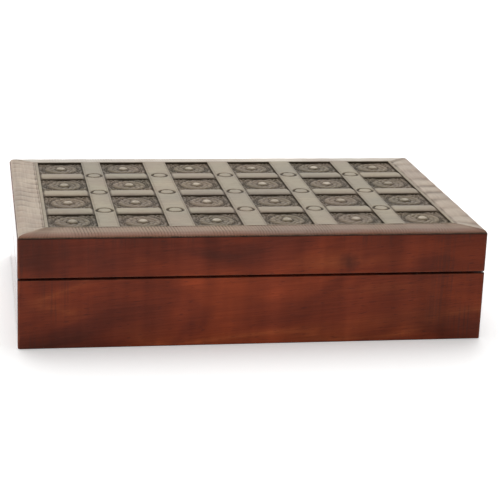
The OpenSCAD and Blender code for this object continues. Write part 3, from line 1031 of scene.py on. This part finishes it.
def side_board(name, turn, corners, radii, node, body, mortise=0):
    """One board. mortise is +1 to cut the hinges' seats into its top, -1 into its underside, or 0."""
    half = HALF_W if turn % 180 == 0 else HALF_D
    seat_walls = [-edge - step for edge in HINGE_ENDS for step in (-SEAT_STEP, SEAT_STEP)]
    stations = side_stations(turn, 6 * MM, CORNER_R, seat_walls if mortise else ())
    section, wear = eased_section(corners, radii)
    inward = np.tile(section[:, 0], (len(stations), 1))
    height = np.tile(section[:, 1], (len(stations), 1))
    if mortise:
        from_middle = np.abs(stations)
        seat = (from_middle > HINGE_ENDS[2]) & (from_middle < HINGE_ENDS[3])
        rim = BASE_RIM if mortise > 0 else LID_RIM
        at_rim = np.abs(section[:, 1] - rim) < RIM_BAND
        height = height - mortise * LEAF_T * (seat[:, None] & at_rim[None, :])
    points, faces = side_sweep(turn, stations, inward, height, 1.0, CORNER_R)
    corner = 1 - smooth_step(half / MM - np.abs(stations) / MM - 0.6)
    edge = np.maximum(wear[None, :], corner[:, None] * (inward < CORNER_R))
    # hidden marks the seam, the foot and the long sides' ledge for painted shade
    hidden = hidden_from_light(section, turn)
    marks = {"edge": edge * ~hidden, "hollow": np.tile(hidden.astype(float), (len(stations), 1))}
    material = MAHOGANY_LONG if turn % 180 == 0 else MAHOGANY_END
    link(name, make_mesh(name, points, faces, marks), body, [node], material)


BASE_SECTION = [(0, BASE_RIM), (0, 0), (LET_IN, 0),
                (LET_IN, FLOOR_TOP), (WALL, FLOOR_TOP), (WALL, BASE_RIM)]
BASE_RADII = np.array([0.65, 0.6, 0.15, 0.15, 0.15, 0.5]) * MM
LID_SECTION = [(0, LID_WALL_TOP), (0, LID_RIM), (WALL, LID_RIM), (WALL, LID_WALL_TOP)]
LID_RADII = np.array([0.15, 0.65, 0.5, 0.15]) * MM
for side, turn in (("front", FRONT), ("right", RIGHT), ("back", BACK), ("left", LEFT)):
    seat = 1 if side == "back" else 0
    side_board("base_board_" + side, turn, BASE_SECTION, BASE_RADII, "base_" + side, "base", seat)
    side_board("lid_board_" + side, turn, LID_SECTION, LID_RADII, "lid_" + side, "lid", -seat)
print("hinge seats from", [round(edge, 4) for edge in HINGE_ENDS])

# %% [markdown]
# ### The carved mouldings
# A shouldered moulding caps the lid. Long leaves lie across it, each tucked under the next. They
# are cut deep on the ends and faint on the front and back, where close short cuts hatch the
# rounded shoulder instead. The same sweep carries it, but the height now depends on the place
# along the side as well: a leaf is a saw-tooth with a softened tuck, slanted by how far in it is,
# and a cut is a narrow hump repeated along the side.

# %% Moulding relief
MOULD_IN = 0.5 * MM
SHOULDER_W = 6.5 * MM
SHOULDER_Z = LID_WALL_TOP + 0.4 * MM
SHOULDER_TOP = TOP - 0.4 * MM
HATCH_PITCH = 2.0


def shoulder_height(inward, width):
    """The plain moulding: a quarter ellipse up to the shoulder, then a straight rise inwards."""
    round_part = 1 - np.clip((inward - MOULD_IN) / SHOULDER_W, 0, 1)
    curve = SHOULDER_Z + (SHOULDER_TOP - SHOULDER_Z) * np.sqrt(1 - round_part ** 2)
    inner = np.clip((inward - MOULD_IN - SHOULDER_W) / (width - MOULD_IN - SHOULDER_W), 0, 1)
    return curve + (TOP - SHOULDER_TOP) * inner


def leaf_fall(along, inward, pitch, deep, slant):
    """Overlapping leaves, in mm: a soft saw-tooth of the place along, bent into an S by the distance in.

    Two slow waves along the side make the leaves uneven, as they are when each is cut by eye.
    """
    slanted = slant * (inward - 9) + 1.6 * np.sin(inward / 2.9)
    by_eye = 2.6 * np.sin(along / 31.0) + 1.2 * np.sin(along / 11.3)
    place = (along + (slanted + by_eye)) / pitch
    saw = place - np.floor(place)
    tuck = 1 - smooth_step((saw - 0.62) / 0.38)
    size = 0.75 + 0.25 * np.sin(along / 19.0 + 0.15 * inward)
    return 1.5 * deep * size * saw ** 1.5 * tuck


def hatch_fall(along, inward, deep):
    """Short gouge cuts across the shoulder, in mm: a narrow hump at each pitch, stronger in groups."""
    place = along / HATCH_PITCH + 0.18 * np.sin(along / 7.3) + 0.05 * inward
    cut = hump(place - np.round(place), 0.36)
    waves = np.sin(along / 5.9 + 1.2 * np.sin(along / 23.0))
    return deep * cut * (0.50 + 0.50 * smooth_step(0.5 + 1.3 * waves))


print("shoulder from", round(SHOULDER_Z, 4), "to", round(SHOULDER_TOP, 4), "m")

# %% Make the mouldings
MOULD_PITCH = 0.29
MOULD_CORNER = 1.2 * MM
LINE_IN, LINE_HALF, LINE_DEEP = 1.3, 0.55, 0.45
INNER_EASE, INNER_EASE_WIDTH = 0.35, 0.6 * MM


def moulding(side, turn, pitch, leaf_deep, slant, hatch_deep, stain_and_shade_red):
    """One carved moulding: the plain shoulder less leaves, cuts, and a line along its inner edge."""
    long_side = turn % 180 == 0
    width, other_width = (MOULD_FRONT, MOULD_SIDE) if long_side else (MOULD_SIDE, MOULD_FRONT)
    stations = side_stations(turn, MOULD_PITCH * MM, MOULD_CORNER)
    arc = MOULD_IN + SHOULDER_W * (1 - np.cos(np.radians(np.arange(0, 90, 7.5))))
    inner = spaced(MOULD_IN + SHOULDER_W, width, 0.55 * MM)
    top_line = np.concatenate([arc, inner])[::-1]
    section = np.concatenate([[MOULD_IN, width], top_line])
    inward = np.tile(section, (len(stations), 1))
    along = np.tile(stations[:, None], (1, len(section))) / MM

    leaves = leaf_fall(along, inward / MM, pitch, leaf_deep, slant)
    cuts = hatch_fall(along, inward / MM, hatch_deep)
    rounded = smooth_step((inward - MOULD_IN) / (2.5 * MM))
    line = LINE_DEEP * hump((width - inward) / MM - LINE_IN, LINE_HALF)
    ease = INNER_EASE * (1 - smooth_step((width - inward) / INNER_EASE_WIDTH))
    fall = leaves * (0.25 + 0.75 * rounded) + cuts * (0.4 + 0.6 * rounded) + line + ease
    height = shoulder_height(inward, width) - fall * MM
    height[:, :2] = LID_WALL_TOP
    fall[:, :2] = 0
    height[:, 2:] = np.maximum(height[:, 2:], LID_WALL_TOP + 0.25 * MM)
    mitre = other_width / width
    points, faces = side_sweep(turn, stations, inward, height, mitre, MOULD_CORNER, MOULD_IN)

    # hollow is wax in the curves and darker in the cuts; deep and foot add painted shade where the
    # leaves dip and on the ledge under the border, and lift falls where the leaves dip, a painted shade
    # too
    hollow, proud = wear_marks(-fall, MOULD_PITCH, 0.35)
    deep = smooth_step((fall - 0.10) / 0.7)
    # the outer mark: stain crept up from the side boards, and partly painted shade for the front-facing
    # foot
    outer = stain_and_shade_red * (1 - smooth_step((inward / MM - 1.5) / 6.5))
    foot = (height < LID_WALL_TOP + 0.7 * MM) & (inward < MOULD_IN + 2 * MM)
    marks = {"lift": 1 - 0.75 * deep, "proud": 0.35 * proud, "outer": outer,
             "hollow": np.clip(0.30 * hollow + 0.25 * deep + 1.0 * cuts + foot, 0, 1)}
    marks = {label: values.ravel() for label, values in marks.items()}
    name = "carved_moulding_" + side
    material = {"front": BORDER_LONG, "back": BORDER_BACK_PAINTED_SHEEN}.get(side, BORDER_END)
    mesh = make_mesh(name, points, faces, marks, 50)
    link(name, mesh, "lid", ["lid_moulding_" + side], material)


moulding("front", FRONT, pitch=17.0, leaf_deep=0.14, slant=0.25, hatch_deep=0.28, stain_and_shade_red=0.95)
moulding("right", RIGHT, pitch=21.0, leaf_deep=0.75, slant=0.55, hatch_deep=0.0, stain_and_shade_red=0.30)
moulding("back", BACK, pitch=17.0, leaf_deep=0.18, slant=-0.25, hatch_deep=0.12, stain_and_shade_red=0.0)
moulding("left", LEFT, pitch=13.5, leaf_deep=0.55, slant=-0.60, hatch_deep=0.0, stain_and_shade_red=0.10)
print("mouldings: widths", round(MOULD_FRONT, 4), "and", round(MOULD_SIDE, 4), "m")

# %% [markdown]
# ## The pit board
# Inside, one thick board has twelve pits and two long stores, routed with straight walls, a round
# cove at the foot, and a softened lip. A routed hollow is the space its cutter sweeps: a round
# section drawn out along Y. So each cutter is a tube of stadium rings, one above another, and a
# Boolean modifier takes all fourteen out of the plain board at once. The modifier is applied at
# once, and the marks are read off the finished mesh.

# %% Cutters
PIT_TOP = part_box("pit_board")[1].z
PIT_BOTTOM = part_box("pit_board")[0].z
PIT_W, PIT_LEN, PIT_PITCH, ROW_OFFSET = 30.4 * MM, 62 * MM, 35.2 * MM, 40 * MM
STORE_W, STORE_LEN, STORE_X = 26 * MM, 150 * MM, 122.2 * MM
PIT_DEPTH, COVE, LIP = 15 * MM, 6 * MM, 1.1 * MM
CLEAR = 0.4 * MM
END_STEPS = 25
PIT_X = (np.arange(6) - 2.5) * PIT_PITCH
PIT_PLACES = [(x, side * ROW_OFFSET) for side in (-1, 1) for x in PIT_X]
print("pits:", len(PIT_PLACES), "of", PIT_LEN / MM, "x", PIT_W / MM, "mm")


def hollow_cutter(x_middle, y_middle, width, length):
    """A closed stadium tube whose radius follows the hollow's section.

    Going up, the radius is that of the flat floor, then a quarter circle out to the wall, then the wall,
    then another quarter circle out over the lip. Half the ring's angles belong to each of its ends.
    """
    turn = np.radians(np.arange(0, 91, 11.25))
    radius = width / 2
    cove_r = radius - COVE + COVE * np.sin(turn)
    lip_r = radius + LIP * (1 - np.cos(turn))
    wall_r = np.concatenate([cove_r, lip_r, [radius + LIP + CLEAR]])
    cove_level = COVE * (1 - np.cos(turn))
    lip_level = PIT_DEPTH - LIP + LIP * np.sin(turn)
    level = np.concatenate([cove_level, lip_level, [PIT_DEPTH + CLEAR]])
    half_turn = np.radians(np.linspace(0, 180, END_STEPS))
    angle = np.concatenate([half_turn, half_turn + math.pi])
    end = np.repeat([1, -1], END_STEPS) * (length - width) / 2
    x = x_middle + wall_r[:, None] * np.cos(angle)
    y = y_middle + wall_r[:, None] * np.sin(angle) + end
    z = np.repeat((PIT_TOP - PIT_DEPTH + level)[:, None], len(angle), axis=1)
    points = np.stack([x, y, z], -1).reshape(-1, 3)
    return points, tube_faces(len(level), len(angle))


# %% Cut the board
def cut_away(piece, cutter):
    """Takes cutter out of piece, and leaves piece with the finished mesh."""
    boolean = piece.modifiers.new("hollows", "BOOLEAN")
    boolean.operation = "DIFFERENCE"
    boolean.solver = "EXACT"
    boolean.object = cutter
    bpy.context.view_layer.update()
    evaluated = piece.evaluated_get(bpy.context.evaluated_depsgraph_get())
    finished = bpy.data.meshes.new_from_object(evaluated)
    piece.modifiers.clear()
    piece.data = finished
    bpy.data.objects.remove(cutter)


BOARD_GAP = 0.15 * MM
board_x = np.array([-1, 1]) * (HALF_W - WALL - BOARD_GAP)
board_y = np.array([-1, 1]) * (HALF_D - WALL - BOARD_GAP)
board_points, board_faces, _ = block(board_x, board_y, np.full((2, 2), PIT_TOP), PIT_BOTTOM)
board_mesh = make_mesh("pit_board_routed", board_points, board_faces)
pit_board = link("pit_board_routed", board_mesh, "base", ["pit_board"], PIT_WOOD)
cutters = [hollow_cutter(x, y, PIT_W, PIT_LEN) for x, y in PIT_PLACES]
cutters += [hollow_cutter(side * STORE_X, 0, STORE_W, STORE_LEN) for side in (-1, 1)]
cutter = bpy.data.objects.new("cutter", make_mesh("cutter", *join(cutters)))
bpy.context.scene.collection.objects.link(cutter)
cut_away(pit_board, cutter)
print("hollows cut:", len(cutters))

# %% Mark the hollows
pit_mesh = pit_board.data
place = np.empty(len(pit_mesh.vertices) * 3, np.float32)
pit_mesh.vertices.foreach_get("co", place)
depth = (PIT_TOP - place[2::3]) / PIT_DEPTH
hollow_mark = pit_mesh.attributes.new("hollow", "FLOAT", "POINT")
hollow_mark.data.foreach_set("value", smooth_step((depth - 0.5) / 0.5).astype(np.float32))
pit_mesh.shade_smooth()
pit_mesh.set_sharp_from_angle(angle=math.radians(32))
print("pit board:", len(pit_mesh.vertices), "points,", len(pit_mesh.polygons), "faces")

# %% [markdown]
# ## The seeds
# The seeds are tumbled stones, flat and a little uneven. A stone is a squashed ball: rings of
# points between two poles, with the poles closed by triangles. Each stone's outline is swollen
# and shrunk by two slow waves round it, always inward from the measured seed, so it stays within
# its space. The four stones of a pit are one piece, because they are picked up together.

# %% Seeds
SEED_R, SEED_H = 6.5 * MM, 7.5 * MM
SEED_SPOTS = np.array([(-6.8, 10.4), (6.9, 15.2), (-6.2, -12.8), (7.0, -3.6)]) * MM
SEED_LIFT = 0.1 * MM
SEED_RINGS, SEED_AROUND = 15, 32


def stone_faces(rings, around):
    """Squares between the rings of a stone, and triangles from its end rings to its two poles."""
    first = np.arange(around)
    after = np.roll(first, -1)
    last = (rings - 1) * around
    foot_pole = np.full(around, rings * around)
    foot = np.stack([after, first, foot_pole], -1)
    crown = np.stack([last + first, last + after, foot_pole + 1], -1)
    return [squares(rings, around, wrap=True), foot, crown]


def stone(x_middle, y_middle, z_floor, draws):
    """A closed pebble: radius times the cosine of latitude, less two slow waves of longitude."""
    latitude = np.linspace(-math.pi / 2, math.pi / 2, SEED_RINGS + 2)[1:-1, None]
    longitude = np.linspace(0, 2 * math.pi, SEED_AROUND, endpoint=False)[None, :]
    start = draws.uniform(0, FULL_TURN, 3)
    size = draws.uniform(0.88, 0.985)
    oval = 0.07 * (1 + np.sin(2 * longitude + start[0])) / 2
    three_sided = 0.04 * (1 + np.sin(3 * longitude + start[1])) / 2
    wave = 1 - oval - three_sided
    flat = np.sign(latitude) * np.abs(np.sin(latitude)) ** 0.92
    radius = SEED_R * size * wave * np.cos(latitude) ** 0.96
    x = x_middle + radius * np.cos(longitude + start[2])
    y = y_middle + radius * np.sin(longitude + start[2])
    thick = SEED_H / 2 * draws.uniform(0.90, 0.99)
    lean = 0.03 * np.sin(longitude + start[1]) * np.cos(latitude)
    z = z_floor + thick * (1 + np.clip(flat + lean, -1, 1)) + 0 * longitude
    points = np.stack([x, y, z], -1).reshape(-1, 3)
    poles = [[x_middle, y_middle, z_floor], [x_middle, y_middle, z_floor + 2 * thick]]
    return np.concatenate([points, poles]), stone_faces(SEED_RINGS, SEED_AROUND)


# %% Make the seeds
stone_draws = np.random.default_rng(7)
floor_z = PIT_TOP - PIT_DEPTH + SEED_LIFT
for index, (pit_x, pit_y) in enumerate(PIT_PLACES):
    flip_x = 1 if index % 2 == 0 else -1
    flip_y = -1 if index % 3 == 0 else 1
    spots = np.array([pit_x, pit_y]) + SEED_SPOTS * [flip_x, flip_y]
    stones = [stone(x, y, floor_z, stone_draws) for x, y in spots]
    points, faces = join(stones)
    tints = np.repeat(stone_draws.permutation(6)[:4] / 5, len(stones[0][0]))
    mesh = make_mesh(f"stones_{index + 1}", points, faces, {"tint": tints}, 60)
    link(mesh.name, mesh, f"seeds_{index + 1}", [f"seeds_pit_{index + 1}"], STONE)
print("stones:", len(SEED_SPOTS) * len(PIT_PLACES))

# %% [markdown]
# ## Pieces kept from the measured model
# The floor, the rails, and the hinges with their pins and screws already have the right shape, so
# they only get their finish.

# %% Finishes on kept pieces
SIDES = ("front", "back", "left", "right")
KEPT = {"base_floor": INNER_WOOD}
KEPT.update({"board_rail_" + side: INNER_WOOD for side in SIDES})
KEPT.update({f"hinge_{part}_leaf_{side}": BRASS for part in ("base", "lid") for side in SIDES[2:]})
KEPT.update({part + "_hinge_screws": BRASS for part in ("base", "lid")})
KEPT.update({"hinge_pin_" + side: STEEL for side in SIDES[2:]})
for name, material in KEPT.items():
    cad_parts[name].data.materials.clear()
    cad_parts[name].data.materials.append(material)
print("kept:", ", ".join(KEPT))

# %% [markdown]
# ## Floor and light
# The box stands on a plain white sweep in a white room. A broad soft lamp overhead and a little
# behind makes the carved top bright and lets the front fall into its deep red. The room is
# brighter behind the box and to its left than in front of it, so that the waxed top and the
# varnished left end pick up a pale sheen. The floor glows more and more with distance, so that it
# meets the white room without a grey line, and the camera itself sees plain white beyond the
# floor's edge.

# %% Stage
FLOOR_HALF = 4.0
FLOOR_WHITES = [(0.3, (0.90, 0.895, 0.885)), (0.7, (0.92, 0.92, 0.915))]
GLOW_FROM, GLOW_TO = 0.5, 2.2
floor_line = np.linspace(-FLOOR_HALF, FLOOR_HALF, 9)
floor_x, floor_y = np.meshgrid(floor_line, floor_line)
floor_points = np.stack([floor_x, floor_y, np.zeros_like(floor_x)], -1).reshape(-1, 3)
floor_mesh = make_mesh("studio_floor", floor_points, [squares(9, 9)])
floor = bpy.data.objects.new("studio_floor", floor_mesh)
bpy.context.scene.collection.objects.link(floor)


def floor_build(n, place):
    """Plain matt white, warmer and cooler in broad patches, with a glow that grows with distance."""
    away = n.add("VectorMath", {0: place}, operation="LENGTH").outputs["Value"]
    glow = n.remap(away, GLOW_FROM, GLOW_TO, 0.24, 0.85)
    return {"Base Color": n.ramp(n.noise(place, 1.5, 2.0), FLOOR_WHITES), "Emission Color": n.grey(glow)}


STUDIO_WHITE = new_material("studio_floor", floor_build, Roughness=0.55, Emission_Strength=1.0)
floor_mesh.materials.append(STUDIO_WHITE)
print("floor:", 2 * FLOOR_HALF, "m wide")

# %% The room
world = bpy.data.worlds.new("white_room")
bpy.context.scene.world = world
world.use_nodes = True
w = Nodes(world.node_tree)
direction = w.add("SeparateXYZ", {0: w.add("TexCoord").outputs["Generated"]}).outputs
back_share = w.remap(direction["Y"], -0.6, 0.8, 0.10, 1.0)
up_share = w.remap(direction["Z"], -0.1, 0.9, 0.0, 0.55)
left_share = w.remap(direction["X"], -0.9, -0.1, 0.75, 0.0)
room = w.math("MAXIMUM", w.math("MAXIMUM", back_share, up_share), left_share)
seen = w.add("LightPath").outputs["Is Camera Ray"]
unseen = w.product(w.math("SUBTRACT", 1.0, seen), room)
background = world.node_tree.nodes["Background"]
w.give(background, {"Color": (1, 1, 1, 1), "Strength": w.math("ADD", seen, unseen)})
print("room: white, with", len(world.node_tree.nodes), "nodes")


# %% Lamps
def soft_lamp(name, place, aim, size, power):
    """A square area lamp at place that faces aim."""
    data = bpy.data.lights.new(name, "AREA")
    data.shape = "SQUARE"
    data.size = size
    data.energy = power
    lamp = bpy.data.objects.new(name, data)
    bpy.context.scene.collection.objects.link(lamp)
    lamp.location = place
    lamp.rotation_euler = (Vector(aim) - Vector(place)).to_track_quat("-Z", "Y").to_euler()
    return lamp


overhead = soft_lamp("overhead_lamp", (0.0, 0.5, 1.5), (0, 0, 0.05), size=1.4, power=16)
fill = soft_lamp("front_fill", (-0.8, -2.0, 1.0), (0, 0, 0.04), size=1.2, power=9)
bpy.context.scene.view_settings.view_transform = "Standard"
print("lamps:", overhead.name, fill.name)
